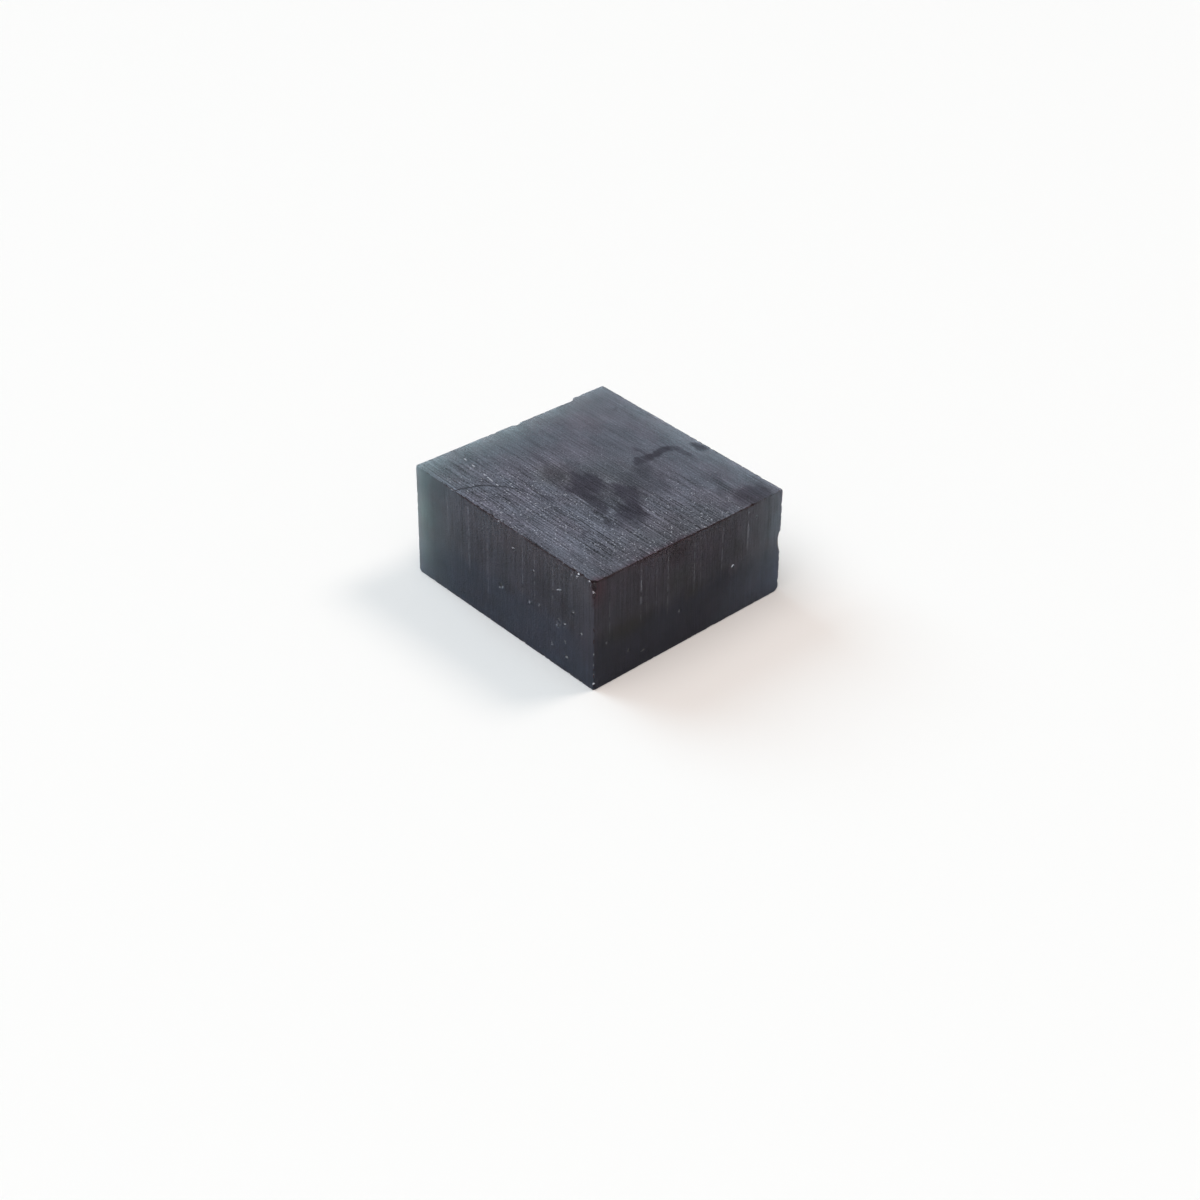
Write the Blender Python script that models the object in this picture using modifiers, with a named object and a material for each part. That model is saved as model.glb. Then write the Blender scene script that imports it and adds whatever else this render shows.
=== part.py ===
"""A sawn block of rough alexandrite: one solid stone with nearly square faces and chipped edges.

Lengths below are in millimetres and the scene is in metres. Left is -X, right is +X, front is -Y
and back is +Y. The stone lies on its flat underside, at Z = 0.
"""

import math
import random

import bmesh
import bpy
from mathutils import Matrix, Vector, noise

MM = 0.001

# Driving dimensions: the block's sides, measured through its middle
WIDTH = 20.0
DEPTH = 21.2
HEIGHT = 9.85

# How far the saw left each face out of square, in degrees. Lean tips a side face inwards at the
# top, and turn swings it in plan. The top falls towards the right and rises towards the back.
LEAN = {"left": 0.35, "right": 0.35, "front": 0.35, "back": 0.25}
TURN = {"left": 0.0, "right": 0.0, "front": 0.55, "back": 0.45}
TOP_FALL_RIGHT = 0.95
TOP_RISE_BACK = 0.55

# The back face was sawn to its last few millimetres and then broke off, which left a lip
LIP_LENGTH = 3.2
LIP_STANDS_OUT = 0.20
LIP_END_ANGLE = 40.0

# Wear that rounds a little every edge sharper than this, in degrees
EDGE_WEAR = 0.05
WORN_EDGE_ANGLE = 30.0

OUTWARD = {
    "left": Vector((-1, 0, 0)),
    "right": Vector((1, 0, 0)),
    "front": Vector((0, -1, 0)),
    "back": Vector((0, 1, 0)),
    "top": Vector((0, 0, 1)),
    "bottom": Vector((0, 0, -1)),
}

# Scoops broken out of an edge: the two faces that meet there, the place along the edge from its
# middle, the length, the depth, and how far the scoop tips towards the first face, in degrees
EDGE_CHIPS = [
    ("left", "front", 4.55, 1.20, 0.26, 0),
    ("left", "front", 3.75, 0.70, 0.13, -20),
    ("left", "front", 2.90, 0.45, 0.07, 15),
    ("left", "front", -1.50, 0.50, 0.07, 10),
    ("left", "front", -2.95, 0.45, 0.08, -10),
    ("left", "front", -4.40, 0.60, 0.10, 0),
    ("right", "front", 1.00, 4.60, 0.20, 10),
    ("right", "front", -0.05, 2.40, 0.27, -10),
    ("right", "front", 3.40, 0.50, 0.08, 0),
    ("back", "top", 0.30, 0.95, 0.29, 12),
    ("back", "top", -0.35, 0.70, 0.10, -15),
    ("back", "top", -2.05, 0.60, 0.19, 0),
    ("back", "top", -5.80, 0.70, 0.12, 20),
    ("left", "top", 5.85, 0.90, 0.11, -20),
    ("left", "top", 4.30, 0.60, 0.08, 15),
    ("left", "top", 1.15, 0.80, 0.12, 25),
    ("left", "top", 0.25, 0.60, 0.10, -10),
    ("left", "top", -4.20, 0.50, 0.08, 15),
    ("left", "top", -8.40, 0.60, 0.10, 25),
    ("left", "top", -9.30, 0.55, 0.12, 20),
    ("front", "top", -8.90, 0.60, 0.08, 15),
    ("front", "top", -1.30, 0.70, 0.07, 20),
    ("front", "top", 6.60, 0.60, 0.08, -15),
]

# Corners broken off: the three faces that meet there, the width of the break and its depth
CORNER_BREAKS = [
    (("left", "front", "top"), 1.00, 0.34),
    (("left", "back", "bottom"), 0.90, 0.22),
    (("right", "front", "bottom"), 0.90, 0.25),
    (("left", "front", "bottom"), 0.50, 0.12),
    (("right", "front", "top"), 0.45, 0.10),
    (("left", "back", "top"), 0.45, 0.10),
    (("right", "back", "top"), 0.40, 0.10),
    (("right", "back", "bottom"), 0.90, 0.28),
]

# Pits in the two side faces: the face, the place across it (towards +Y or +X) and up from the
# base, the width and the depth
PITS = [
    ("left", -1.45, 8.25, 0.30, 0.07),
    ("left", 0.20, 4.00, 0.55, 0.08),
    ("left", -3.80, 7.30, 0.34, 0.07),
    ("left", -6.75, 7.20, 0.45, 0.07),
    ("left", -8.30, 5.95, 0.40, 0.08),
    ("left", -3.40, 4.25, 0.32, 0.06),
    ("left", -4.45, 4.55, 0.40, 0.06),
    ("left", -6.65, 4.45, 0.32, 0.07),
    ("left", -7.40, 4.40, 0.36, 0.07),
    ("left", -6.60, 3.80, 0.30, 0.06),
    ("left", -9.25, 4.50, 0.36, 0.07),
    ("left", -7.40, 2.75, 0.36, 0.06),
    ("left", -5.95, 1.80, 0.30, 0.06),
    ("left", -7.60, 1.40, 0.45, 0.07),
    ("front", 4.65, 4.70, 0.34, 0.09),
    ("front", -1.05, 3.15, 0.36, 0.06),
    ("front", -8.60, 3.80, 0.40, 0.06),
    ("front", -6.40, 2.00, 0.36, 0.06),
    ("front", -4.80, 1.30, 0.36, 0.06),
    ("front", 7.10, 8.25, 0.30, 0.05),
]

# Small chips scattered along all twelve edges
SMALL_CHIPS_PER_EDGE = 4
SMALL_CHIP_LENGTHS = (0.35, 0.95)
SMALL_CHIP_DEPTHS = (0.05, 0.10)
SMALL_CHIP_TIP = 28.0

# A broken surface is uneven by this share of its radius of curvature, in so many lumps to a radius
FRACTURE_ROUGHNESS = 0.012
FRACTURE_LUMPS = 3.0
FRACTURE_SEED = 11


def clear_scene():
    """Remove what the startup scene holds."""
    for obj in list(bpy.data.objects):
        bpy.data.objects.remove(obj, do_unlink=True)


def new_collection(name):
    collection = bpy.data.collections.new(name)
    bpy.context.scene.collection.children.link(collection)
    return collection


def mesh_object(name, bm, collection):
    """Make an object from a bmesh and free the bmesh."""
    bmesh.ops.recalc_face_normals(bm, faces=bm.faces[:])
    mesh = bpy.data.meshes.new(name)
    bm.to_mesh(mesh)
    bm.free()
    obj = bpy.data.objects.new(name, mesh)
    collection.objects.link(obj)
    return obj


def face_plane(face):
    """Return a point on a sawn face and its outward normal, in millimetres."""
    if face == "bottom":
        return Vector((0, 0, 0)), OUTWARD["bottom"]
    if face == "top":
        slope_x = math.tan(math.radians(TOP_FALL_RIGHT))
        slope_y = -math.tan(math.radians(TOP_RISE_BACK))
        return Vector((0, 0, HEIGHT)), Vector((slope_x, slope_y, 1)).normalized()
    outward = OUTWARD[face]
    half = WIDTH / 2 if abs(outward.x) else DEPTH / 2
    along = Vector((abs(outward.y), abs(outward.x), 0))
    normal = outward + along * math.tan(math.radians(TURN[face]))
    normal.z = math.tan(math.radians(LEAN[face]))
    return outward * half + Vector((0, 0, HEIGHT / 2)), normal.normalized()


def corner(*faces):
    """Return the point where three sawn faces meet, in millimetres."""
    planes = [face_plane(face) for face in faces]
    normals = Matrix([normal for _, normal in planes])
    distances = Vector([point.dot(normal) for point, normal in planes])
    return normals.inverted() @ distances


def edge_ends(face_a, face_b):
    """Return the two ends of an edge, ordered towards +X, +Y or +Z."""
    along = OUTWARD[face_a].cross(OUTWARD[face_b])
    caps = [face for face, outward in OUTWARD.items() if abs(outward.dot(along)) > 0.5]
    ends = [corner(face_a, face_b, cap) for cap in caps]
    return sorted(ends, key=lambda end: sum(end[i] * abs(along[i]) for i in range(3)))


def onto_lip(place):
    """Move a place on the back face out to the lip's own face, where it lies on the lip."""
    point, normal = face_plane("back")
    on_back = abs((place - point).dot(normal)) < LIP_STANDS_OUT / 2
    if on_back and place.x > WIDTH / 2 - LIP_LENGTH:
        return place + normal * LIP_STANDS_OUT
    return place


def sawn_block(collection):
    """A cube of stone, trimmed by one saw cut for each face."""
    bm = bmesh.new()
    bmesh.ops.create_cube(bm, size=2 * max(WIDTH, DEPTH) * MM)
    for face in OUTWARD:
        point, normal = face_plane(face)
        if face == "back":
            point = point + normal * LIP_STANDS_OUT
        cut = bmesh.ops.bisect_plane(
            bm,
            geom=bm.verts[:] + bm.edges[:] + bm.faces[:],
            plane_co=point * MM,
            plane_no=normal,
            clear_outer=True,
        )
        rim = [item for item in cut["geom_cut"] if isinstance(item, bmesh.types.BMEdge)]
        bmesh.ops.edgeloop_fill(bm, edges=rim)
    return mesh_object("alexandrite_block", bm, collection)


def saw_cut_behind_lip(collection):
    """The slab that the last saw cut took off the back, as far as the lip."""
    point, normal = face_plane("back")
    length = 2 * WIDTH
    bm = bmesh.new()
    bmesh.ops.create_cube(bm, size=1)
    bmesh.ops.scale(bm, vec=Vector((length, LIP_STANDS_OUT * 4, HEIGHT * 3)), verts=bm.verts[:])
    # The cut ends on a slope, so its right end is sheared back as it goes out
    spread = 1 / math.tan(math.radians(LIP_END_ANGLE))
    for vert in bm.verts:
        if vert.co.x > 0:
            vert.co.x += vert.co.y * spread
    right_end = WIDTH / 2 - LIP_LENGTH
    centre = Vector((right_end - length / 2, point.y, HEIGHT / 2))
    centre += normal * (LIP_STANDS_OUT * 2)
    turned = Vector((0, 1, 0)).rotation_difference(normal).to_matrix().to_4x4()
    bmesh.ops.transform(bm, matrix=Matrix.Translation(centre) @ turned, verts=bm.verts[:])
    bmesh.ops.scale(bm, vec=Vector((MM, MM, MM)), verts=bm.verts[:])
    return mesh_object("saw_cut", bm, collection)


def scoop(name, place, outward, length, depth, seed, collection):
    """A rough ball that breaks a scoop of this length and depth out of the stone at a place."""
    radius = ((length / 2) ** 2 + depth**2) / (2 * depth)
    bm = bmesh.new()
    bmesh.ops.create_icosphere(bm, subdivisions=3, radius=radius)
    # Each seed has its own stretch of the noise, and its own turn of the ball
    drift = Vector((1.7, -1.7, 0.85)) * seed
    for vert in bm.verts:
        unevenness = noise.noise(vert.co * (FRACTURE_LUMPS / radius) + drift)
        vert.co *= 1 + FRACTURE_ROUGHNESS * unevenness
    spin = Matrix.Rotation(seed * 1.3, 4, Vector((1, 2, 3)))
    move = Matrix.Translation(place + outward.normalized() * (radius - depth))
    bmesh.ops.transform(bm, matrix=Matrix.Scale(MM, 4) @ move @ spin, verts=bm.verts[:])
    return mesh_object(name, bm, collection)


def edge_scoop(name, face_a, face_b, along, length, depth, tip, seed, collection):
    """A scoop out of an edge, centred on a distance along it from its middle."""
    low, high = edge_ends(face_a, face_b)
    direction = (high - low).normalized()
    place = onto_lip((low + high) / 2 + direction * along)
    turn = math.radians(45 + tip)
    normal_a = face_plane(face_a)[1]
    normal_b = face_plane(face_b)[1]
    outward = normal_a * math.sin(turn) + normal_b * math.cos(turn)
    return scoop(name, place, outward, length, depth, seed, collection)


def break_edges(collection):
    for number, (face_a, face_b, along, length, depth, tip) in enumerate(EDGE_CHIPS):
        name = f"edge_chip_{number:02d}"
        edge_scoop(name, face_a, face_b, along, length, depth, tip, number + 1, collection)


def break_corners(collection):
    for number, (faces, width, depth) in enumerate(CORNER_BREAKS):
        outward = sum((OUTWARD[face] for face in faces), Vector())
        name = f"corner_break_{number}"
        scoop(name, onto_lip(corner(*faces)), outward, width, depth, 40 + number, collection)


def sink_pits(collection):
    for number, (face, across, up, width, depth) in enumerate(PITS):
        point, normal = face_plane(face)
        along = Vector((abs(normal.y) > 0.5, abs(normal.x) > 0.5, 0))
        place = point + along * across
        place.z = up
        place -= normal * (place - point).dot(normal)
        scoop(f"pit_{number:02d}", place, normal, width, depth, 60 + number, collection)


def scatter_small_chips(collection):
    """Small chips at seeded random places on every edge."""
    rng = random.Random(FRACTURE_SEED)
    sides = ("left", "right")
    ends = ("front", "back")
    flats = ("top", "bottom")
    edges = [(a, b) for a in sides for b in ends]
    edges += [(a, b) for a in sides + ends for b in flats]
    for face_a, face_b in edges:
        low, high = edge_ends(face_a, face_b)
        reach = (high - low).length / 2 - SMALL_CHIP_LENGTHS[1]
        for number in range(SMALL_CHIPS_PER_EDGE):
            along = rng.uniform(-reach, reach)
            length = rng.uniform(*SMALL_CHIP_LENGTHS)
            depth = rng.uniform(*SMALL_CHIP_DEPTHS)
            tip = rng.uniform(-SMALL_CHIP_TIP, SMALL_CHIP_TIP)
            name = f"small_chip_{face_a}_{face_b}_{number}"
            seed = rng.uniform(100, 200)
            edge_scoop(name, face_a, face_b, along, length, depth, tip, seed, collection)


def wear_edges(block):
    bevel = block.modifiers.new("edge wear", "BEVEL")
    bevel.width = EDGE_WEAR * MM
    bevel.segments = 2
    bevel.limit_method = "ANGLE"
    bevel.angle_limit = math.radians(WORN_EDGE_ANGLE)


def cut_away(block, name, cutters):
    """Cut every object of a collection out of the block."""
    cut = block.modifiers.new(name, "BOOLEAN")
    cut.operation = "DIFFERENCE"
    cut.solver = "EXACT"
    cut.operand_type = "COLLECTION"
    cut.collection = cutters
    for cutter in cutters.objects:
        cutter.hide_render = True
        cutter.display_type = "WIRE"


def stone_material():
    material = bpy.data.materials.new("rough_alexandrite")
    material.use_nodes = True
    shader = material.node_tree.nodes["Principled BSDF"]
    shader.inputs["Base Color"].default_value = (0.055, 0.065, 0.085, 1)
    shader.inputs["Roughness"].default_value = 0.55
    shader.inputs["Metallic"].default_value = 0.0
    shader.inputs["IOR"].default_value = 1.745
    return material


def stand_on_origin(block, origin):
    """Move the stone and its cutters so that the origin is at the middle of its base."""
    bpy.context.view_layer.update()
    evaluated = block.evaluated_get(bpy.context.evaluated_depsgraph_get())
    corners = [evaluated.matrix_world @ Vector(point) for point in evaluated.bound_box]
    low = Vector([min(point[i] for point in corners) for i in range(3)])
    high = Vector([max(point[i] for point in corners) for i in range(3)])
    origin.location = Vector((-(low.x + high.x) / 2, -(low.y + high.y) / 2, -low.z))


def build():
    clear_scene()
    stone = new_collection("alexandrite")
    saw_cutters = new_collection("saw_cutters")
    chip_cutters = new_collection("chip_cutters")

    origin = bpy.data.objects.new("base_centre", None)
    stone.objects.link(origin)
    block = sawn_block(stone)
    block.data.materials.append(stone_material())

    saw_cut_behind_lip(saw_cutters)
    break_edges(chip_cutters)
    break_corners(chip_cutters)
    sink_pits(chip_cutters)
    scatter_small_chips(chip_cutters)

    cut_away(block, "saw cut", saw_cutters)
    wear_edges(block)
    cut_away(block, "chips", chip_cutters)

    for child in [block] + saw_cutters.objects[:] + chip_cutters.objects[:]:
        child.parent = origin
    stand_on_origin(block, origin)


build()
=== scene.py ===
"""A sawn block of rough alexandrite on a pale floor, lit softly from above and from behind.

Shapes and patterns are laid out in millimetres, in the stone's own frame: left is -X, right is +X,
front is -Y and back is +Y. The corner nearest the camera is the one between left and front.
"""

import math

import bmesh
import bpy
import numpy as np
from mathutils import Matrix, Vector


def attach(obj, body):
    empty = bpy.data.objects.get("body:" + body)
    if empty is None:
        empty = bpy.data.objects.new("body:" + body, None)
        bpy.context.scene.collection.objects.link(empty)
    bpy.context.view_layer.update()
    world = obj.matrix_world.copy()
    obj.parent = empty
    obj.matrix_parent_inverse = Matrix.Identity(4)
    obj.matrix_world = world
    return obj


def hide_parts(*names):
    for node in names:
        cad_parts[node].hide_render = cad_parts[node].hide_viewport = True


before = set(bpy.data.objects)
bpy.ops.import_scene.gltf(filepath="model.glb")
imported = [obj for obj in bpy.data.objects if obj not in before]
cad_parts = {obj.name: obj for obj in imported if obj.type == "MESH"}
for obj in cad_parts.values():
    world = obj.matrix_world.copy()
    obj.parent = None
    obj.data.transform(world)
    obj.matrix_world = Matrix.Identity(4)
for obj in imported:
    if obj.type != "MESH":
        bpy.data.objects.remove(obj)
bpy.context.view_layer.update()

MM = 0.001
NODE = "alexandrite_block"

OUTWARD = {
    "left": Vector((-1, 0, 0)),
    "right": Vector((1, 0, 0)),
    "front": Vector((0, -1, 0)),
    "back": Vector((0, 1, 0)),
    "bottom": Vector((0, 0, -1)),
    "top": Vector((0, 0, 1)),
}

# The camera stands off the corner between left and front and looks down at the stone
CAMERA_AZIMUTH = -42.02
CAMERA_ELEVATION = 35.30
CAMERA_ROLL = 0.49
CAMERA_DISTANCE = 178.82
CAMERA_ASIDE = 0.155
CAMERA_BELOW = 1.589
BASE_CENTRE_Y = -0.02
FOCAL_LENGTH = 66.16
SENSOR_WIDTH = 36.0

# The fine mesh of the stone
VOXEL = 0.05
MOST_TRIANGLES = 190_000

# Relief cut into the stone's surface, calmer in the smooth places of the top
SAW_MARK_DEPTH = 0.016
SMOOTH_PLACE_CALM = 0.8
SCRATCH_DEPTH = 0.03
CRACK_DEPTH = 0.03
NIBBLE_DEPTH = 0.06
NIBBLE_REACH = 0.10
NIBBLE_SIZE = 0.16
FRACTURE_DEPTH = 0.02
FRACTURE_SIZE = 0.30
LATTICE = 512

# A painted glint's strength is stored this far round it, in half sizes of the glint
GLINT_REACH = 3.5

# A surface this far under the sawn faces was broken and not sawn
BROKEN_FROM = 0.025
BROKEN_TO = 0.060

# The patterns on the sawn faces. Marks have a width, a length and a place in the noise.
FINE_MARKS = (0.11, 3.0, 0.0)
LINE_MARKS = (0.22, 14.0, 3.0)
BROAD_MARKS = (0.45, 7.0, 5.0)
SAW_STEP = 0.27
GRAIN_SIZE = (0.11, 0.14, 0.14)
CLOUD_SIZE = (1.6, 2.4, 2.0)
HUE_SIZE = (2.2, 3.0, 2.2)
CRUMB_SIZE = (0.13, 0.13, 0.13)
SPARKLE_SIZE = 0.10
SPARKLE_LENGTH = 0.16

# How far each pattern lightens and darkens the colour, and how much more on a level face
MOTTLE = 2.0
FINE_WEIGHT = 0.32
LINE_WEIGHT = 0.22
BROAD_WEIGHT = 0.11
RIDGE_WEIGHT = 0.02
RIDGE_WEIGHT_MORE = 0.11
GRAIN_WEIGHT = 0.12
GRAIN_WEIGHT_MORE = 0.20
CLOUD_WEIGHT = 0.7

# Outlines of the smooth places: frayed along the saw marks, less so at the right, swayed and ragged
PATCH_FRAY = 1.25
PATCH_FRAY_LESS = 0.78
PATCH_SWAY = 0.7
PATCH_RAGGED = 0.55

# Smooth dark places in the top's saw marks: middle, half width, half length, turn and strength
TOP_PATCHES = [
    (-2.1, 4.3, 0.38, 1.1, -20, 0.38),
    (-2.6, 2.2, 0.90, 1.1, -5, 0.52),
    (-1.0, 2.1, 0.90, 1.2, 0, 0.36),
    (-3.2, 0.5, 0.50, 0.8, 0, 0.30),
    (-1.05, -0.1, 0.95, 1.5, 0, 0.92),
    (-2.35, -0.9, 1.05, 1.5, 0, 0.92),
    (-2.8, -2.9, 0.42, 1.3, 3, 0.80),
    (-3.2, -4.0, 0.52, 0.6, 0, 0.65),
    (-3.7, -5.8, 0.28, 1.1, -6, 0.60),
    (-1.3, -2.9, 1.60, 1.4, 0, 0.44),
    (-0.1, -2.2, 0.55, 0.7, 0, 0.50),
    (0.25, -3.3, 0.78, 1.4, 0, 0.86),
    (-1.15, -4.75, 1.60, 1.0, 12, 0.97),
    (-2.0, -5.9, 1.15, 0.8, 0, 0.48),
    (-2.4, -6.7, 1.20, 0.8, 0, 0.28),
    (2.4, -2.8, 1.80, 2.2, 0, 0.52),
    (3.3, -1.2, 1.10, 0.9, 0, 0.38),
    (1.3, 0.6, 1.70, 1.5, 0, 0.14),
    (4.5, -0.35, 0.85, 0.52, 10, 0.80),
    (5.0, 0.8, 0.22, 0.9, -8, 0.55),
    (6.2, -0.3, 1.50, 0.38, 0, 0.86),
    (7.5, -0.45, 0.50, 0.48, 0, 0.80),
    (7.8, -1.4, 0.22, 1.0, 0, 0.50),
    (9.4, -1.6, 0.45, 0.8, 0, 0.80),
    (7.0, -6.0, 0.40, 1.1, -30, 0.30),
    (5.9, -7.6, 0.55, 0.6, 0, 0.32),
    (7.8, -9.6, 1.60, 1.4, 0, 0.74),
    (4.8, -9.8, 0.60, 1.0, 0, 0.36),
    (8.4, 7.2, 0.40, 0.18, 25, 0.40),
    (9.3, 7.0, 0.32, 0.15, 0, 0.30),
    (-5.4, -0.3, 0.34, 0.8, 0, 0.45),
    (-6.1, -5.2, 0.55, 0.22, 0, 0.50),
]

# A hairline crack bows in from the left edge and then runs along the saw marks
CRACK_CENTRE = (-10.6, 0.6)
CRACK_RADIUS = 5.05
CRACK_END_Y = -3.5
CRACK_WIDTH = 0.09

# One scratch in the top, from back to front, and the torn grains along it: Y and half length
SCRATCH_START = (-6.35, 9.0)
SCRATCH_END = (-6.87, 4.0)
SCRATCH_WIDTH = 0.07
BEAD_WIDTH = 0.08
SCRATCH_BEADS = [(8.75, 0.25), (7.60, 0.26), (6.00, 0.18), (5.50, 0.12), (5.10, 0.40), (4.20, 0.22)]

# Lighter saw marks that stand out on the sides: the place across the face, the lowest and the
# highest point, the width and the strength. Across the left face is Y, and the front face X.
LEFT_STREAKS = [
    (6.6, 5.0, 9.5, 0.12, 0.25),
    (4.0, 3.5, 9.5, 0.20, 0.32),
    (1.7, 2.0, 9.0, 0.15, 0.32),
    (-2.5, 4.5, 9.5, 0.10, 0.38),
    (-3.9, 5.5, 9.0, 0.08, 0.42),
    (-6.0, 5.5, 9.5, 0.16, 0.32),
]
FRONT_STREAKS = [
    (-8.4, 4.5, 7.5, 0.06, 0.45),
    (-5.2, 4.8, 9.3, 0.09, 0.75),
    (-4.6, 5.0, 8.0, 0.06, 0.35),
    (-3.6, 4.5, 8.5, 0.06, 0.35),
    (-2.4, 4.0, 9.0, 0.10, 0.42),
    (0.4, 4.5, 9.0, 0.10, 0.42),
    (1.1, 5.0, 8.0, 0.06, 0.35),
    (3.4, 5.0, 8.8, 0.10, 0.45),
    (6.2, 5.5, 9.3, 0.11, 0.55),
]

# Colours of the sawn faces. The sides change from head to foot.
# The top's colour is lighter partly by a painted sheen of the studio's light on its rough skin, which
# the smooth places lack
TOP_COLOUR_WITH_SHEEN = (0.445, 0.465, 0.595)
PATCH_COLOUR = (0.125, 0.114, 0.172)
LEFT_HEAD = (0.35, 0.33, 0.42)
LEFT_MIDDLE = (0.23, 0.235, 0.335)
LEFT_FOOT = (0.17, 0.20, 0.33)
FRONT_HEAD = (0.22, 0.175, 0.25)
FRONT_MIDDLE = (0.155, 0.14, 0.205)
FRONT_FOOT = (0.058, 0.064, 0.135)
SEAM = (0.14, 0.045, 0.055)
# Near-white of pale grains and crumbs and of the painted glints
PALE_GRAIN_AND_GLINT = (0.85, 0.90, 0.98)
CRACK_COLOUR = (0.04, 0.04, 0.06)
EDGE_HOLLOW = (0.09, 0.03, 0.035)
PIT_HOLLOW = (0.10, 0.10, 0.14)
COOL_HUE = (0.97, 1.01, 1.01)
WARM_HUE = (1.03, 0.99, 1.00)

# The body is clear but dark: chrysoberyl's index, and what it takes out of the light per metre
REFRACTIVE_INDEX = 1.745
ABSORPTION_COLOUR = (0.40, 0.67, 0.60)
ABSORPTION_DENSITY = 1200.0

# The sawn skin scatters a part of the light, more of it on the top, and on the pale grains and crumbs
# that carry painted glints
SEE_THROUGH = 0.88
TOP_SCATTER = 0.08
GRAIN_SCATTER = 0.35
GLINT_SCATTER = 0.75
ROUGHNESS = 0.68
SMOOTHER_IN_PATCHES = 0.10
SMOOTHER_WHERE_BROKEN = 0.3
SPECULAR_LEVEL = 0.12
SPECULAR_TINT = (0.35, 0.36, 0.40)
BUMP_STRENGTH = 0.5
BUMP_HEIGHT = 0.02

# Soft distant lights: where each shines to, its strength, tint and spread in degrees
LIGHTS = {
    "cool_light": ((1.5, -7.65, -6.25), 1.30, (0.65, 0.91, 1.04), 38),
    "warm_light": ((-5.65, 1.8, -8.05), 0.86, (1.0, 0.87, 0.77), 20),
    "front_light": ((3.4, 0.6, -9.4), 1.58, (1.0, 0.92, 0.88), 57),
}

# Light from the studio around: everywhere, added straight up and added at the horizon
LOWEST_LIGHT = 0.03
OVERHEAD_LIGHT = 0.30
HORIZON_LIGHT = 1.0

# The floor, in metres
FLOOR_COLOUR = (0.90, 0.90, 0.90)
FLOOR_HALF_SIZE = 9.0

# Places in the body that differ in colour, and places of painted glow where light shines through thin
# edges: middle, half sizes, colour and strength
COLOUR_ZONES = {
    # Painted glow of light shining through the thin corner at the left and back, added to the body's
    # own see-through
    "painted glow through the left and back corner": ((-10.3, 10.8, 7), (6, 8, 16), (0.62, 0.69, 0.82), 1.0),
    "painted glow at the edge of that corner": ((-10.8, 10.8, 6), (3.0, 3.2, 8), (0.86, 0.95, 0.97), 0.9),
    "teal at the back of the top": ((-3.0, 8.5, 10), (7.0, 4.5, 2.0), (0.46, 0.52, 0.64), 0.7),
    "purple towards the back": ((6.2, 7.8, 10), (4.2, 4.2, 2.0), (0.58, 0.57, 0.71), 0.8),
    # Painted glow of light shining through the top's thin rims at the right and back
    "painted glow at the right rim of the top": ((10.4, 0, 10.2), (3.2, 16, 2.0), (0.73, 0.80, 0.94), 0.9),
    "painted glow at the back rim of the top": ((0, 11, 10.2), (21, 3.4, 2.0), (0.73, 0.82, 0.91), 0.9),
    "greyer front of the top": ((0, -9.5, 10), (14, 4.5, 2.0), (0.28, 0.28, 0.33), 0.8),
    "purple at the front of the top": ((7.7, -9.5, 10), (2.4, 2.2, 1.5), (0.38, 0.31, 0.41), 0.9),
    "olive in the smooth place": ((0.3, -1.5, 10), (5.5, 6.0, 1.5), (0.38, 0.42, 0.48), 0.8),
    "brown in the smooth place": ((-2.4, 2.6, 10), (2.4, 2.6, 1.5), (0.40, 0.38, 0.42), 0.9),
    # Painted glow of light shining through the thin right end of the front
    "painted glow at the right end of the front": ((10.4, -10.8, 7.5), (7.8, 2.5, 9), (0.55, 0.56, 0.69), 1.0),
    "blue foot of the front": ((8.5, -10.8, 1.0), (8.5, 2.0, 4.5), (0.29, 0.34, 0.51), 0.9),
    "lighter half of the left": ((-10.6, 5.5, 9.0), (1.5, 7.5, 3.4), (0.50, 0.57, 0.76), 0.9),
    "darker half of the left": ((-10.6, -5.0, 6.5), (1.5, 4.5, 4.0), (0.06, 0.06, 0.11), 0.7),
    "purple near the nearest edge": ((-10.6, -10, 5), (1.5, 2.6, 4.5), (0.24, 0.19, 0.29), 0.7),
    "teal foot of the left": ((-10.6, 6.0, 2.2), (1.5, 4.0, 3.5), (0.12, 0.19, 0.33), 0.8),
    "red under the front edge": ((-3.0, -11, 9.9), (9.5, 1.0, 1.3), (0.24, 0.10, 0.16), 0.9),
    "deep red spot": ((-1.3, -10.8, 8.8), (2.1, 1.0, 1.8), (0.09, 0.03, 0.06), 1.0),
    "red at the nearest corner": ((-9.8, -10.8, 9.4), (1.8, 0.9, 2.6), (0.27, 0.09, 0.13), 0.9),
    "brown spot on the left": ((-10.1, -0.8, 4.4), (1.0, 1.3, 0.9), (0.10, 0.08, 0.11), 0.6),
    "dark column on the left": ((-10.1, -7.3, 5.9), (1.0, 0.9, 2.0), (0.08, 0.06, 0.09), 0.7),
    "second dark column on the left": ((-10.1, -8.3, 4.8), (1.0, 0.7, 1.6), (0.08, 0.06, 0.09), 0.6),
    "olive waist of the front": ((-6.6, -10.8, 4.3), (4.0, 1.5, 1.6), (0.055, 0.05, 0.045), 0.9),
    "olive spot on the front": ((0.4, -10.8, 4.5), (1.8, 1.5, 1.2), (0.07, 0.065, 0.07), 0.8),
    "olive shade on the front": ((-1.2, -10.8, 6.4), (2.6, 1.5, 1.6), (0.13, 0.13, 0.14), 0.7),
    "dark spot on the front": ((5.0, -10.8, 6.4), (1.1, 1.5, 1.2), (0.12, 0.12, 0.15), 0.8),
}
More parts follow.
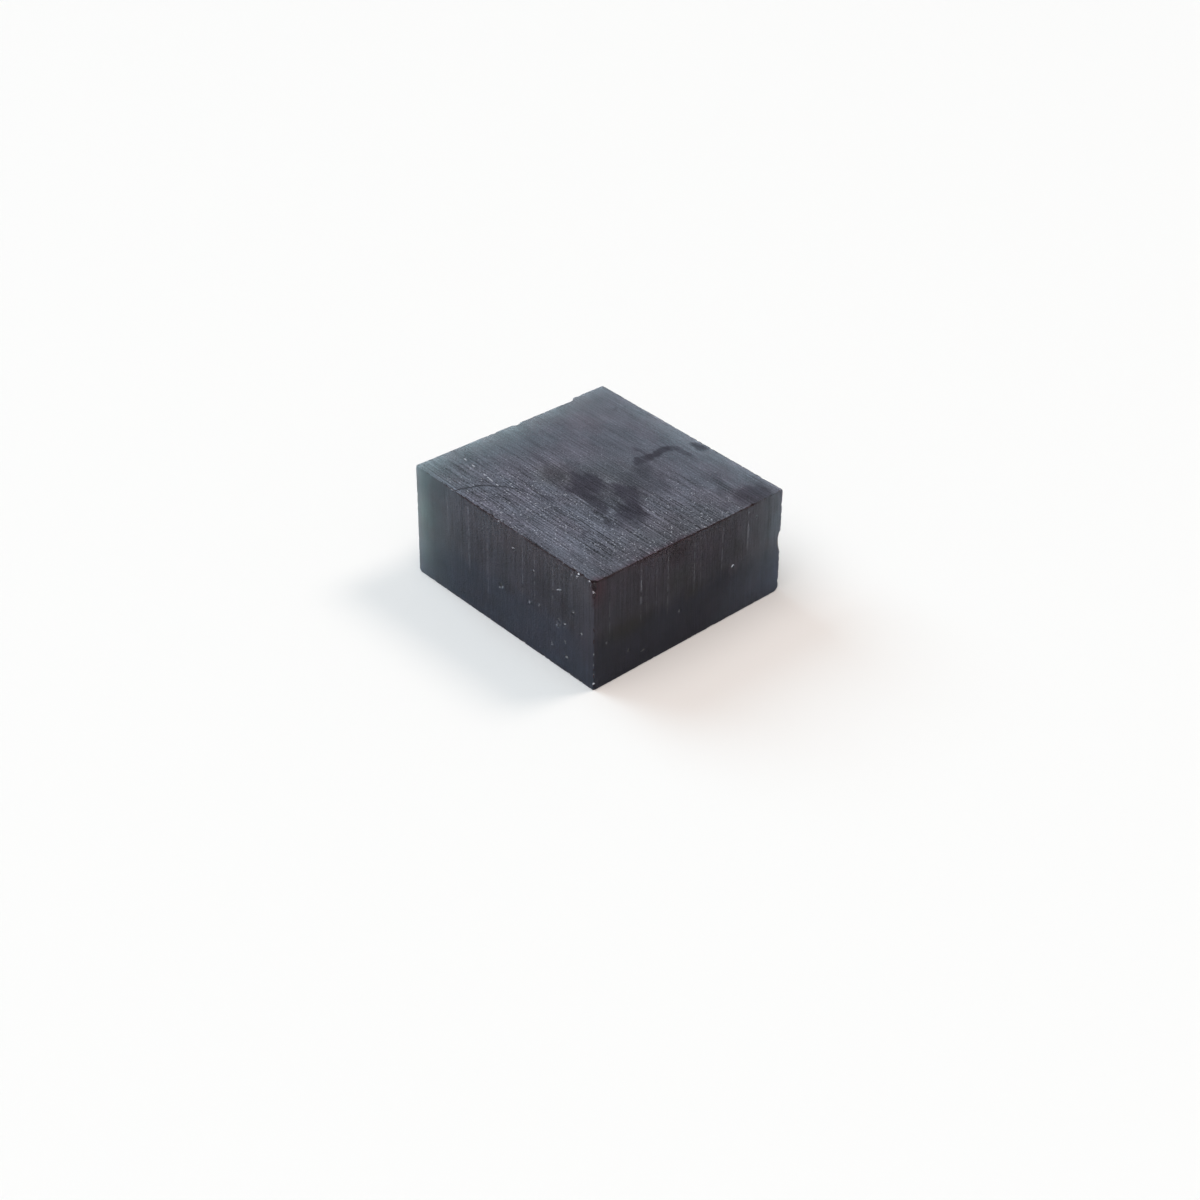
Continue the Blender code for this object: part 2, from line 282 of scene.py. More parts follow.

# Painted glints on broken crumbs: place, half sizes, turn about X and strength
GLINT_SPOTS = [
    # On the nearest upright edge
    ((-9.96, -10.60, 9.0), (0.09, 0.10, 0.15), 0, 0.60),
    ((-10.0, -10.7, 3.4), (0.07, 0.07, 0.10), 0, 0.60),
    ((-10.0, -10.7, 2.4), (0.06, 0.06, 0.09), 0, 0.50),
    ((-10.0, -10.7, 1.5), (0.06, 0.06, 0.10), 0, 0.60),
    ((-10.0, -10.7, 0.6), (0.10, 0.10, 0.12), 0, 0.95),
    # On the edge between the top and the left face
    ((-10.0, -10.15, 9.78), (0.08, 0.09, 0.06), 0, 0.85),
    ((-10.0, -9.4, 9.85), (0.07, 0.10, 0.06), 0, 0.55),
    ((-10.0, -8.95, 9.80), (0.10, 0.13, 0.08), 0, 1.00),
    ((-10.0, -8.3, 9.9), (0.08, 0.12, 0.07), 0, 0.55),
    ((-10.0, -7.2, 9.9), (0.06, 0.10, 0.06), 0, 0.50),
    ((-10.0, 0.3, 9.9), (0.08, 0.10, 0.08), 0, 0.50),
    ((-10.0, 1.2, 9.9), (0.09, 0.14, 0.08), 0, 0.60),
    ((-10.0, 6.0, 10.0), (0.08, 0.16, 0.08), 0, 0.50),
    # In the pits of the left face
    ((-9.9, -1.4, 8.3), (0.35, 0.19, 0.07), -20, 0.55),
    ((-9.9, -3.8, 7.4), (0.35, 0.07, 0.14), 0, 0.50),
    ((-9.9, -6.7, 7.2), (0.35, 0.38, 0.06), -27, 0.58),
    ((-9.9, -8.3, 6.0), (0.35, 0.08, 0.11), 0, 0.50),
    ((-9.9, 0.3, 3.75), (0.35, 0.10, 0.08), 0, 0.50),
    ((-9.9, -0.1, 3.95), (0.35, 0.08, 0.12), 25, 0.45),
    ((-9.9, -3.3, 4.3), (0.35, 0.07, 0.13), 0, 0.45),
    ((-9.9, -4.4, 4.6), (0.35, 0.06, 0.20), 15, 0.30),
    ((-9.9, -6.7, 4.5), (0.35, 0.10, 0.08), -20, 0.60),
    ((-9.9, -7.4, 4.4), (0.35, 0.12, 0.08), -20, 0.60),
    ((-9.9, -9.3, 4.5), (0.35, 0.11, 0.08), -25, 0.60),
    ((-9.9, -6.5, 3.85), (0.35, 0.07, 0.10), 0, 0.40),
    ((-9.9, -7.4, 2.8), (0.35, 0.06, 0.20), -20, 0.24),
    ((-9.9, -5.9, 1.8), (0.35, 0.05, 0.18), 0, 0.45),
    ((-9.9, -7.6, 1.4), (0.35, 0.14, 0.07), -10, 0.60),
    # In the pits of the front face
    ((-8.7, -10.5, 3.85), (0.12, 0.35, 0.12), 0, 0.30),
    ((-6.45, -10.5, 2.1), (0.06, 0.35, 0.20), 0, 0.20),
    ((-4.9, -10.5, 1.3), (0.26, 0.35, 0.06), 0, 0.24),
    ((-1.1, -10.5, 3.2), (0.07, 0.35, 0.16), 0, 0.36),
    ((4.65, -10.5, 4.75), (0.12, 0.35, 0.11), 0, 1.00),
    ((7.1, -10.5, 8.35), (0.12, 0.35, 0.10), 0, 0.30),
    ((9.9, -10.5, 4.9), (0.08, 0.16, 0.12), 0, 0.60),
]


def smoothstep(value, low, high):
    t = np.clip((value - low) / (high - low), 0, 1)
    return t * t * (3 - 2 * t)


def lattice_noise(u, v, seed):
    """Smooth seeded values from -1 to 1 that change over one unit of u and of v."""
    grid = np.random.default_rng(seed).uniform(-1, 1, (LATTICE, LATTICE))
    column = np.floor(u).astype(int)
    row = np.floor(v).astype(int)
    across = smoothstep(u - column, 0, 1)
    along = smoothstep(v - row, 0, 1)
    low = grid[column % LATTICE, row % LATTICE] * (1 - across)
    low += grid[(column + 1) % LATTICE, row % LATTICE] * across
    high = grid[column % LATTICE, (row + 1) % LATTICE] * (1 - across)
    high += grid[(column + 1) % LATTICE, (row + 1) % LATTICE] * across
    return low * (1 - along) + high * along


def lumps(points, size, seed):
    """Seeded unevenness from -1 to 1 in every direction, with lumps of one size."""
    x, y, z = (points / size).T
    return lattice_noise(x + 0.61 * z, y - 0.43 * z + 0.37 * x, seed)


def saw_marks(across, along, seed):
    """Heights of parallel saw marks, from -1 to 1: fine, middling and broad ones together."""
    fine = lattice_noise(across / 0.08, along / 3, seed)
    middling = lattice_noise(across / 0.17, along / 5, seed + 1)
    broad = lattice_noise(across / 0.5, along / 9, seed + 2)
    return 0.3 * fine + 0.45 * middling + 0.25 * broad


def layered_noise(u, v, seed):
    """Seeded unevenness from about -1 to 1, with finer and finer parts."""
    total = np.zeros_like(u)
    for layer in range(4):
        finer = 2 ** layer
        total += lattice_noise(u * finer, v * finer, seed + layer) / finer
    return total / 2


def patch_cover(x, y):
    """How far a point of the top lies inside the smooth dark places, from 0 to 1.

    Their outlines are ragged and frayed along the saw marks.
    """
    fray = layered_noise(x * 1.4, y * 0.15, 60)
    fray *= PATCH_FRAY - PATCH_FRAY_LESS * smoothstep(x, 3.5, 5.0)
    sway = layered_noise(x * 0.8, y * 0.7, 70) * PATCH_SWAY
    ragged = layered_noise(x * 2.6, y * 1.4, 80) * PATCH_RAGGED
    bare = np.ones_like(x)
    for middle_x, middle_y, half_x, half_y, turn, strength in TOP_PATCHES:
        c = math.cos(math.radians(turn))
        s = math.sin(math.radians(turn))
        dx = x + sway - middle_x
        dy = y + fray - middle_y
        distance = ((dx * c + dy * s) / half_x) ** 2 + ((dy * c - dx * s) / half_y) ** 2
        bare *= 1 - strength * (1 - smoothstep(distance + ragged, 0.25, 1.75))
    return 1 - bare


def zone_colours(points):
    """How much of the sawn face's own colour each point keeps, and the colour added to it."""
    kept = np.ones(len(points))
    added = np.zeros((len(points), 3))
    for middle, halves, tint, strength in COLOUR_ZONES.values():
        distance = np.linalg.norm((points - middle) / halves, axis=1)
        share = strength * (1 - smoothstep(distance, 0, 1))
        kept *= 1 - share
        added += share[:, None] * (np.array(tint) - added)
    return kept, added


def nearest_glints(points):
    """Each point's place as the nearest painted glint sees it, in half sizes, and its strength."""
    nearest = np.full(len(points), np.inf)
    places = np.zeros((len(points), 3))
    strengths = np.zeros(len(points))
    for middle, halves, turn, strength in GLINT_SPOTS:
        turned = np.array(Matrix.Rotation(math.radians(turn), 3, "X"))
        place = ((points - middle) @ turned) / halves
        distance = np.linalg.norm(place, axis=1)
        closer = distance < nearest
        nearest[closer] = distance[closer]
        places[closer] = place[closer]
        strengths[closer] = strength
    strengths[nearest > GLINT_REACH] = 0
    return places, strengths


def crack_distance(x, y):
    """Distance on the top from the hairline crack."""
    centre_x, centre_y = CRACK_CENTRE
    bow = np.abs(np.hypot(x - centre_x, y - centre_y) - CRACK_RADIUS)
    straight_x = centre_x + CRACK_RADIUS
    below_end = np.maximum(CRACK_END_Y - y, 0)
    straight = np.hypot(x - straight_x, below_end)
    return np.where(y > centre_y, bow, straight)


def scratch_distance(x, y):
    """Distance on the top from the deep scratch."""
    start = np.array(SCRATCH_START)
    along = np.array(SCRATCH_END) - start
    share = ((x - start[0]) * along[0] + (y - start[1]) * along[1]) / (along @ along)
    share = np.clip(share, 0, 1)
    return np.hypot(x - start[0] - share * along[0], y - start[1] - share * along[1])


def evaluated_mesh(obj):
    """The object's mesh with its modifiers applied."""
    depsgraph = bpy.context.evaluated_depsgraph_get()
    return bpy.data.meshes.new_from_object(obj.evaluated_get(depsgraph))


def take_shape(obj):
    """Apply the object's modifiers to its own mesh."""
    old = obj.data
    obj.data = evaluated_mesh(obj)
    obj.modifiers.clear()
    bpy.data.meshes.remove(old)


def sawn_planes(bm):
    """The outward normal and the offset of each sawn face, from its largest flat piece."""
    planes = []
    for outward in OUTWARD.values():
        facing = [face for face in bm.faces if face.normal.dot(outward) > 0.99]
        largest = max(facing, key=lambda face: face.calc_area())
        planes.append((largest.normal.copy(), largest.normal.dot(largest.calc_center_median())))
    return planes


def fine_copy(node):
    """A copy of the solid in millimetres, remade as one fine even mesh, and its sawn planes."""
    bm = bmesh.new()
    bm.from_mesh(node.data)
    bmesh.ops.remove_doubles(bm, verts=bm.verts[:], dist=MM * MM)
    bmesh.ops.scale(bm, vec=Vector((1 / MM, 1 / MM, 1 / MM)), verts=bm.verts[:])
    planes = sawn_planes(bm)
    mesh = bpy.data.meshes.new("rough_stone")
    bm.to_mesh(mesh)
    bm.free()
    stone = bpy.data.objects.new("rough_stone", mesh)
    bpy.context.scene.collection.objects.link(stone)
    remesh = stone.modifiers.new("fine mesh", "REMESH")
    remesh.mode = "VOXEL"
    remesh.voxel_size = VOXEL
    remesh.adaptivity = 0
    take_shape(stone)
    return stone, planes


def read_mesh(mesh):
    """The mesh's points and normals as arrays of three columns."""
    points = np.empty(len(mesh.vertices) * 3, np.float32)
    mesh.vertices.foreach_get("co", points)
    normals = np.empty(len(mesh.vertices) * 3, np.float32)
    mesh.vertex_normals.foreach_get("vector", normals)
    return points.reshape(-1, 3).astype(float), normals.reshape(-1, 3).astype(float)


def depths_inside(points, planes):
    """Each point's depth under the nearest sawn face, and under the next nearest."""
    normals = np.array([normal for normal, _ in planes])
    offsets = np.array([offset for _, offset in planes])
    depths = np.sort(offsets - points @ normals.T, axis=1)
    return depths[:, 0], depths[:, 1]


def cut_relief(stone, planes):
    """Sink saw marks into the sawn faces, and nibble the edges and the broken places."""
    points, normals = read_mesh(stone.data)
    x, y, z = points.T
    flat_x, flat_y, flat_z = smoothstep(np.abs(normals), 0.9, 0.98).T
    under_face, from_edge = depths_inside(points, planes)
    broken = smoothstep(under_face, BROKEN_FROM, BROKEN_TO)
    on_top = (normals[:, 2] > 0.9) * (1 - broken)

    marks = flat_z * saw_marks(x, y, 10) * (1 - SMOOTH_PLACE_CALM * patch_cover(x, y) * on_top)
    marks += flat_x * saw_marks(y, z, 20)
    marks += flat_y * saw_marks(x, z, 30)
    depth = SAW_MARK_DEPTH * (1 - broken) * (1 - marks) / 2

    depth += CRACK_DEPTH * on_top * np.exp(-((crack_distance(x, y) / CRACK_WIDTH) ** 2))
    beads = 0.6 + 0.4 * lattice_noise(y / 0.35, 0 * y, 50)
    depth += SCRATCH_DEPTH * on_top * beads * np.exp(-((scratch_distance(x, y) / SCRATCH_WIDTH) ** 2))

    near_edge = np.exp(-((from_edge / NIBBLE_REACH) ** 2))
    nibble = lumps(points, NIBBLE_SIZE, 40) + 0.5 * lumps(points, NIBBLE_SIZE / 2, 41)
    depth += NIBBLE_DEPTH * near_edge * np.clip(nibble - 0.1, 0, 1)
    depth += FRACTURE_DEPTH * broken * (1 + lumps(points, FRACTURE_SIZE, 42)) / 2

    moved = points - normals * depth[:, None]
    stone.data.vertices.foreach_set("co", moved.astype(np.float32).ravel())
    stone.data.update()


def thin_out(stone):
    """Bring the mesh down to its number of triangles."""
    triangulate = stone.modifiers.new("triangles", "TRIANGULATE")
    triangulate.quad_method = "SHORTEST_DIAGONAL"
    take_shape(stone)
    decimate = stone.modifiers.new("fewer triangles", "DECIMATE")
    decimate.ratio = min(1.0, MOST_TRIANGLES / len(stone.data.polygons))
    take_shape(stone)


def mark_surface(stone, planes):
    """Store on each point what the material needs to know about its place on the stone."""
    points, _ = read_mesh(stone.data)
    under_face, from_edge = depths_inside(points, planes)
    kept_colour, added_colour = zone_colours(points)
    glint_place, glint_strength = nearest_glints(points)
    values = {
        "broken": smoothstep(under_face, BROKEN_FROM, BROKEN_TO),
        "from_edge": from_edge,
        "cover": patch_cover(points[:, 0], points[:, 1]),
        "kept_colour": kept_colour,
        "glint_strength": glint_strength,
    }
    for name, numbers in values.items():
        layer = stone.data.attributes.new(name, "FLOAT", "POINT")
        layer.data.foreach_set("value", numbers.astype(np.float32))
    for name, vectors in {"added_colour": added_colour, "glint_place": glint_place}.items():
        layer = stone.data.attributes.new(name, "FLOAT_VECTOR", "POINT")
        layer.data.foreach_set("vector", vectors.astype(np.float32).ravel())


class Nodes:
    """Short calls that add shader nodes to one tree and join them."""

    def __init__(self, tree):
        self.tree = tree

    def add(self, kind, inputs=(), output=0, **settings):
        """Add a node, set its properties and inputs, and return one of its outputs."""
        node = self.tree.nodes.new(kind)
        for name, value in settings.items():
            setattr(node, name, value)
        for name, value in dict(inputs).items():
            self.put(node.inputs[name], value)
        return node.outputs[output]

    def put(self, socket, value):
        """Join a value that comes from another node, or set a plain one."""
        if isinstance(value, bpy.types.NodeSocket):
            self.tree.links.new(value, socket)
        else:
            socket.default_value = value

    def math(self, operation, a, b=0.0):
        return self.add("ShaderNodeMath", {0: a, 1: b}, operation=operation)

    def plus(self, a, b):
        return self.math("ADD", a, b)

    def minus(self, a, b):
        return self.math("SUBTRACT", a, b)

    def times(self, a, b):
        return self.math("MULTIPLY", a, b)

    def most(self, a, b):
        return self.math("MAXIMUM", a, b)

    def without(self, a):
        return self.math("SUBTRACT", 1.0, a)

    def vector(self, operation, a, b=(0, 0, 0)):
        output = "Value" if operation == "LENGTH" else "Vector"
        return self.add("ShaderNodeVectorMath", {0: a, 1: b}, output, operation=operation)

    def joined(self, x, y, z):
        return self.add("ShaderNodeCombineXYZ", {0: x, 1: y, 2: z})

    def parts(self, vector):
        node = self.tree.nodes.new("ShaderNodeSeparateXYZ")
        self.put(node.inputs[0], vector)
        return node.outputs

    def step(self, value, low, high, low_value=0.0, high_value=1.0):
        """Rise smoothly from one value to another as the input goes from low to high."""
        inputs = {"Value": value, "From Min": low, "From Max": high}
        inputs.update({"To Min": low_value, "To Max": high_value})
        return self.add("ShaderNodeMapRange", inputs, interpolation_type="SMOOTHSTEP")

    def blend(self, share, a, b):
        """Mix two colours."""
        node = self.tree.nodes.new("ShaderNodeMix")
        node.data_type = "RGBA"
        self.put(node.inputs[0], share)
        self.put(node.inputs[6], a)
        self.put(node.inputs[7], b)
        return node.outputs[2]

    def noise(self, place, detail=2.0, roughness=0.5):
        """Noise from 0 to 1 that changes over one unit of the place."""
        inputs = {"Vector": place, "Scale": 1.0, "Detail": detail, "Roughness": roughness}
        return self.add("ShaderNodeTexNoise", inputs)

    def scaled(self, vector, factor):
        return self.add("ShaderNodeVectorMath", {0: vector, "Scale": factor}, operation="SCALE")

    def stored(self, name, output="Fac"):
        """A number, or a vector, that is stored on the mesh."""
        return self.add("ShaderNodeAttribute", output=output, attribute_name=name)


def colour(red, green, blue):
    return (red, green, blue, 1.0)


class Surface:
    """Where a point of the stone is, which way it faces, and the patterns that it has there."""

    def __init__(self, n):
        self.n = n
        coordinates = n.tree.nodes.new("ShaderNodeTexCoord")
        self.place = n.vector("DIVIDE", coordinates.outputs["Object"], (MM, MM, MM))
        self.x, self.y, self.z = n.parts(self.place)
        facing_x, _, self.facing_z = n.parts(coordinates.outputs["Normal"])
        self.on_top = n.step(self.facing_z, 0.6, 0.8)
        self.flat = n.step(n.math("ABSOLUTE", self.facing_z), 0.6, 0.8)
        self.to_side = n.step(n.math("ABSOLUTE", facing_x), 0.6, 0.8)
        self.upright = n.without(self.flat)
        self.on_front = n.times(n.without(self.to_side), self.upright)
        self.broken = n.stored("broken")
        self.from_edge = n.stored("from_edge")
        self.cover = n.times(n.stored("cover"), n.times(self.on_top, n.without(self.broken)))
        self.measure_marks()
        self.fine = self.marks(FINE_MARKS)
        self.lines = self.marks(LINE_MARKS)
        self.broad = self.marks(BROAD_MARKS)
        self.grain = n.step(self.speckles(GRAIN_SIZE, 1.0), 0.36, 0.64)
        self.cloud = self.speckles(CLOUD_SIZE, 3.0)

    def measure_marks(self):
        """Find the place across and along the saw marks, whichever face this is."""
        n = self.n
        on_side = n.plus(n.times(self.y, self.to_side), n.times(self.x, n.without(self.to_side)))
        self.across = n.plus(n.times(self.x, self.flat), n.times(on_side, self.upright))
        self.along = n.plus(n.times(self.y, self.flat), n.times(self.z, self.upright))

    def marks(self, kind):
        """Parallel saw marks from 0 to 1."""
        width, length, offset = kind
        n = self.n
        place = n.joined(n.times(self.across, 1 / width), n.times(self.along, 1 / length), offset)
        return n.step(n.noise(place), 0.33, 0.67)

    def speckles(self, size, detail):
        """Noise from 0 to 1 with spots of one size."""
        return self.n.noise(self.n.vector("DIVIDE", self.place, size), detail=detail)


def saw_ridges(n, s):
    """Evenly spaced saw marks that wander a little, from -1 to 1."""
    wander = n.noise(n.joined(n.times(s.across, 0.6), n.times(s.along, 0.1), 11.0))
    turns = n.times(n.plus(s.across, n.times(wander, 0.6)), 2 * math.pi / SAW_STEP)
    return n.times(n.math("SINE", turns), n.step(s.broad, 0.2, 0.8, 0.4, 1.0))


def liveliness(n, s):
    """How strongly the marks show: most at the top's left and front, least at the sides' foot."""
    inward = n.plus(n.times(s.x, 0.8), n.times(s.y, 0.6))
    top = n.times(n.step(inward, -4.0, 4.5, 1.1, 0.4), n.step(inward, -13.0, -9.0, 0.7, 1.0))
    top = n.times(top, n.step(s.y, 4.0, 9.0, 1.0, 0.7))
    top = n.times(top, n.without(n.times(s.cover, 0.35)))
    side = n.times(n.step(s.z, 3.5, 6.0, 0.25, 0.50), n.step(s.y, 4.5, 8.5, 1.0, 0.3))
    return n.plus(n.times(top, s.on_top), n.times(side, n.without(s.on_top)))


def lightness(n, s, lively):
    """The light and dark saw marks, grains and clouds, as a factor of the colour."""
    fine = n.times(n.minus(s.fine, 0.5), FINE_WEIGHT)
    mottle = n.plus(fine, n.times(n.minus(s.lines, 0.5), LINE_WEIGHT))
    mottle = n.plus(mottle, n.times(n.minus(s.broad, 0.5), BROAD_WEIGHT))
    ridge_weight = n.plus(RIDGE_WEIGHT, n.times(s.flat, RIDGE_WEIGHT_MORE))
    mottle = n.plus(mottle, n.times(saw_ridges(n, s), ridge_weight))
    grain_weight = n.plus(GRAIN_WEIGHT, n.times(s.flat, GRAIN_WEIGHT_MORE))
    mottle = n.plus(mottle, n.times(n.minus(s.grain, 0.5), grain_weight))
    marked = n.plus(1.0, n.times(mottle, n.times(lively, MOTTLE)))
    return n.plus(marked, n.times(n.minus(s.cloud, 0.5), CLOUD_WEIGHT))


def sawn_colour(n, s):
    """The colours of the sawn faces, of the zones in the body and of the smooth places."""
    ragged_z = n.plus(s.z, n.plus(n.times(s.broad, 0.5), n.times(s.cloud, 1.5)))
    rise = n.step(ragged_z, 4.7, 6.3)
    head = n.step(s.z, 5.5, 9.5)
    left = n.blend(rise, colour(*LEFT_FOOT), colour(*LEFT_MIDDLE))
    left = n.blend(head, left, colour(*LEFT_HEAD))
    front = n.blend(rise, colour(*FRONT_FOOT), colour(*FRONT_MIDDLE))
    front = n.blend(head, front, colour(*FRONT_HEAD))
    base = n.blend(s.to_side, front, left)
    # The top's colour holds a painted sheen
    base = n.blend(s.on_top, base, colour(*TOP_COLOUR_WITH_SHEEN))
    kept = n.scaled(base, n.stored("kept_colour"))
    base = n.vector("ADD", kept, n.stored("added_colour", "Vector"))
    base = n.blend(s.cover, base, colour(*PATCH_COLOUR))
    base = n.blend(dark_seam(n, s), base, colour(*SEAM))
    hue = n.step(s.speckles(HUE_SIZE, 2.0), 0.35, 0.65)
    return n.vector("MULTIPLY", base, n.blend(hue, colour(*COOL_HUE), colour(*WARM_HUE)))


def pale_grains_and_glints(n, s, lively):
    """Painted glints on single grains, and pale grains along the scratch and in the strongest saw
    marks.
    """
    grains_and_glints = n.times(painted_sparkles(n, s), n.times(lively, n.plus(0.15, s.flat)))
    grains_and_glints = n.times(grains_and_glints, n.without(n.times(s.cover, 0.8)))
    grains_and_glints = n.most(grains_and_glints, n.times(scratch_beads(n, s.x, s.y), s.on_top))
    grains_and_glints = n.most(grains_and_glints, side_streaks(n, s.y, s.z, s.to_side, LEFT_STREAKS))
    return n.most(grains_and_glints, side_streaks(n, s.x, s.z, s.on_front, FRONT_STREAKS))


def stone_material():
    """Rough alexandrite: a dark see-through body under sawn, light-scattering faces."""
    material = bpy.data.materials.new("sawn_alexandrite")
    material.use_nodes = True
    tree = material.node_tree
    tree.nodes.clear()
    n = Nodes(tree)
    s = Surface(n)

    # The sawn faces with their marks, the pale grains with painted glints, and the crack
    lively = liveliness(n, s)
    base = n.scaled(sawn_colour(n, s), lightness(n, s, lively))
    grains_and_glints = pale_grains_and_glints(n, s, lively)
    # Painted glints and pale grains, in one near-white colour
    base = n.blend(n.times(grains_and_glints, 0.75), base, colour(*PALE_GRAIN_AND_GLINT))
    base = n.blend(n.times(crack_line(n, s.x, s.y), s.on_top), base, colour(*CRACK_COLOUR))

    # Broken places are dark glassy hollows with pale crumbs in them, whose white is partly a painted
    # glint
    crumbs = s.speckles(CRUMB_SIZE, 2.0)
    pale = n.step(crumbs, 0.64, 0.72)
    in_pit = n.step(s.from_edge, 0.5, 0.8)
    hollow = n.blend(in_pit, colour(*EDGE_HOLLOW), colour(*PIT_HOLLOW))
    base = n.blend(s.broken, base, n.blend(pale, hollow, colour(*PALE_GRAIN_AND_GLINT)))
    # Painted glints on the crumbs in the nicks and the pits
    glints = painted_glints(n, crumbs)
    base = n.blend(glints, base, colour(*PALE_GRAIN_AND_GLINT))

    # How see-through, rough and bumpy the skin is
    scatter = n.times(n.most(grains_and_glints, n.times(s.broken, pale)), GRAIN_SCATTER)
    scatter = n.most(scatter, n.times(glints, GLINT_SCATTER))
    see_through = n.minus(n.minus(SEE_THROUGH, n.times(s.on_top, TOP_SCATTER)), scatter)
    smoother = n.times(s.cover, SMOOTHER_IN_PATCHES)
    smoother = n.plus(smoother, n.times(s.broken, SMOOTHER_WHERE_BROKEN))
    height = n.plus(n.times(s.fine, 0.5), n.times(s.grain, 0.5))
    relief = {"Strength": BUMP_STRENGTH, "Distance": BUMP_HEIGHT * MM, "Height": height}

    shader = tree.nodes.new("ShaderNodeBsdfPrincipled")
    n.put(shader.inputs["Base Color"], base)
    n.put(shader.inputs["Roughness"], n.minus(ROUGHNESS, smoother))
    n.put(shader.inputs["IOR"], REFRACTIVE_INDEX)
    n.put(shader.inputs["Specular IOR Level"], SPECULAR_LEVEL)
    n.put(shader.inputs["Specular Tint"], colour(*SPECULAR_TINT))
    n.put(shader.inputs["Transmission Weight"], see_through)
    n.put(shader.inputs["Normal"], n.add("ShaderNodeBump", relief, "Normal"))
    absorption = tree.nodes.new("ShaderNodeVolumeAbsorption")
    n.put(absorption.inputs["Color"], colour(*ABSORPTION_COLOUR))
    n.put(absorption.inputs["Density"], ABSORPTION_DENSITY)
    output = tree.nodes.new("ShaderNodeOutputMaterial")
    n.put(output.inputs["Surface"], shader.outputs[0])
    n.put(output.inputs["Volume"], absorption.outputs[0])
    return material


def dark_seam(n, s):
    """The dark line under the top's left and front edges, where the body shows through them."""
    below = n.times(n.step(s.facing_z, 0.75, 0.95, 0.8, 0.0), n.step(s.z, 9.0, 9.4))
    uneven = n.plus(s.from_edge, n.times(n.minus(s.cloud, 0.5), 0.6))
    line = n.times(below, n.step(uneven, 0.04, 0.24, 1.0, 0.0))
    ends = n.times(n.step(s.y, 5.0, 8.5, 1.0, 0.0), n.step(s.x, 6.0, 8.5, 1.0, 0.0))
    return n.times(line, ends)


def painted_sparkles(n, s):
    """Painted glints of light on single grains, drawn out along the saw marks."""
    longer = SPARKLE_LENGTH - SPARKLE_SIZE
    length_y = n.plus(SPARKLE_SIZE, n.times(s.flat, longer))
    length_z = n.plus(SPARKLE_SIZE, n.times(s.upright, longer))
    cells = n.tree.nodes.new("ShaderNodeTexVoronoi")
    size = n.joined(SPARKLE_SIZE, length_y, length_z)
    n.put(cells.inputs["Vector"], n.vector("DIVIDE", s.place, size))
    n.put(cells.inputs["Scale"], 1.0)
    chance = n.parts(cells.outputs["Color"])[0]
    core = n.step(cells.outputs["Distance"], 0.20, 0.60, 0.85, 0.0)
    return n.times(n.step(chance, 0.82, 1.0), core)


def side_streaks(n, across, z, on_face, streaks):
    """Lighter saw marks that stand out on a side face, broken up into dashes."""
    found = 0.0
    for middle, low, high, width, strength in streaks:
        line = n.step(n.math("ABSOLUTE", n.minus(across, middle)), 0.0, width, strength, 0.0)
        ends = n.times(n.step(z, low - 1.0, low + 1.0), n.step(z, high - 0.5, high + 0.5, 1.0, 0.0))
        found = n.most(found, n.times(line, ends))
    dashes = n.noise(n.joined(n.times(across, 2.0), n.times(z, 1.6), 9.0), detail=3.0)
    return n.times(n.times(found, on_face), n.step(dashes, 0.36, 0.52))


def crack_line(n, x, y):
    """How dark the hairline crack makes a point of the top; it fades as it straightens."""
    centre_x, centre_y = CRACK_CENTRE
    sway = n.times(n.minus(n.noise(n.joined(n.times(x, 1.2), n.times(y, 1.2), 1.0)), 0.5), 0.5)
    offset = n.joined(n.minus(x, centre_x), n.minus(y, centre_y), 0.0)
    bow = n.math("ABSOLUTE", n.minus(n.plus(n.vector("LENGTH", offset), sway), CRACK_RADIUS))
    below_end = n.most(n.minus(CRACK_END_Y, y), 0.0)
    aside = n.plus(n.minus(x, centre_x + CRACK_RADIUS), sway)
    straight = n.vector("LENGTH", n.joined(aside, below_end, 0.0))
    is_bow = n.math("GREATER_THAN", y, centre_y)
    distance = n.plus(n.times(bow, is_bow), n.times(straight, n.without(is_bow)))
    return n.times(n.step(distance, 0.03, 0.14, 0.68, 0.0), n.step(y, -1.5, 4.5, 0.22, 1.0))


def scratch_beads(n, x, y):
    """The torn grains along the scratch in the top."""
    start_x, start_y = SCRATCH_START
    end_x, end_y = SCRATCH_END
    slope = (end_x - start_x) / (end_y - start_y)
    aside = n.minus(x, n.plus(start_x, n.times(n.minus(y, start_y), slope)))
    beads = 0.0
    for middle_y, half_length in SCRATCH_BEADS:
        off_middle = n.times(n.minus(y, middle_y), 1 / half_length)
        distance = n.vector("LENGTH", n.joined(n.times(aside, 1 / BEAD_WIDTH), off_middle, 0.0))
        beads = n.most(beads, n.step(distance, 0.5, 1.1, 0.90, 0.0))
    return beads


def painted_glints(n, crumbs):
    """Painted glints on the crumbs in the nicks of the edges and in the pits, with ragged outlines.
    """
    distance = n.vector("LENGTH", n.stored("glint_place", "Vector"))
    distance = n.plus(distance, n.times(n.minus(crumbs, 0.5), 1.6))
    return n.times(n.step(distance, 0.8, 1.2, 1.0, 0.0), n.stored("glint_strength"))


def make_stone():
    stone, planes = fine_copy(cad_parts[NODE])
    cut_relief(stone, planes)
    thin_out(stone)
    mark_surface(stone, planes)
    stone.data.transform(Matrix.Scale(MM, 4))
    stone.data.shade_smooth()
    stone.data.materials.clear()
    stone.data.materials.append(stone_material())
    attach(stone, "root")
    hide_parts(NODE)
    return stone


def floor_material():
    material = bpy.data.materials.new("pale_floor")
    material.use_nodes = True
    shader = material.node_tree.nodes["Principled BSDF"]
    shader.inputs["Base Color"].default_value = colour(*FLOOR_COLOUR)
    shader.inputs["Roughness"].default_value = 0.8
    shader.inputs["Specular IOR Level"].default_value = 0.2
    return material


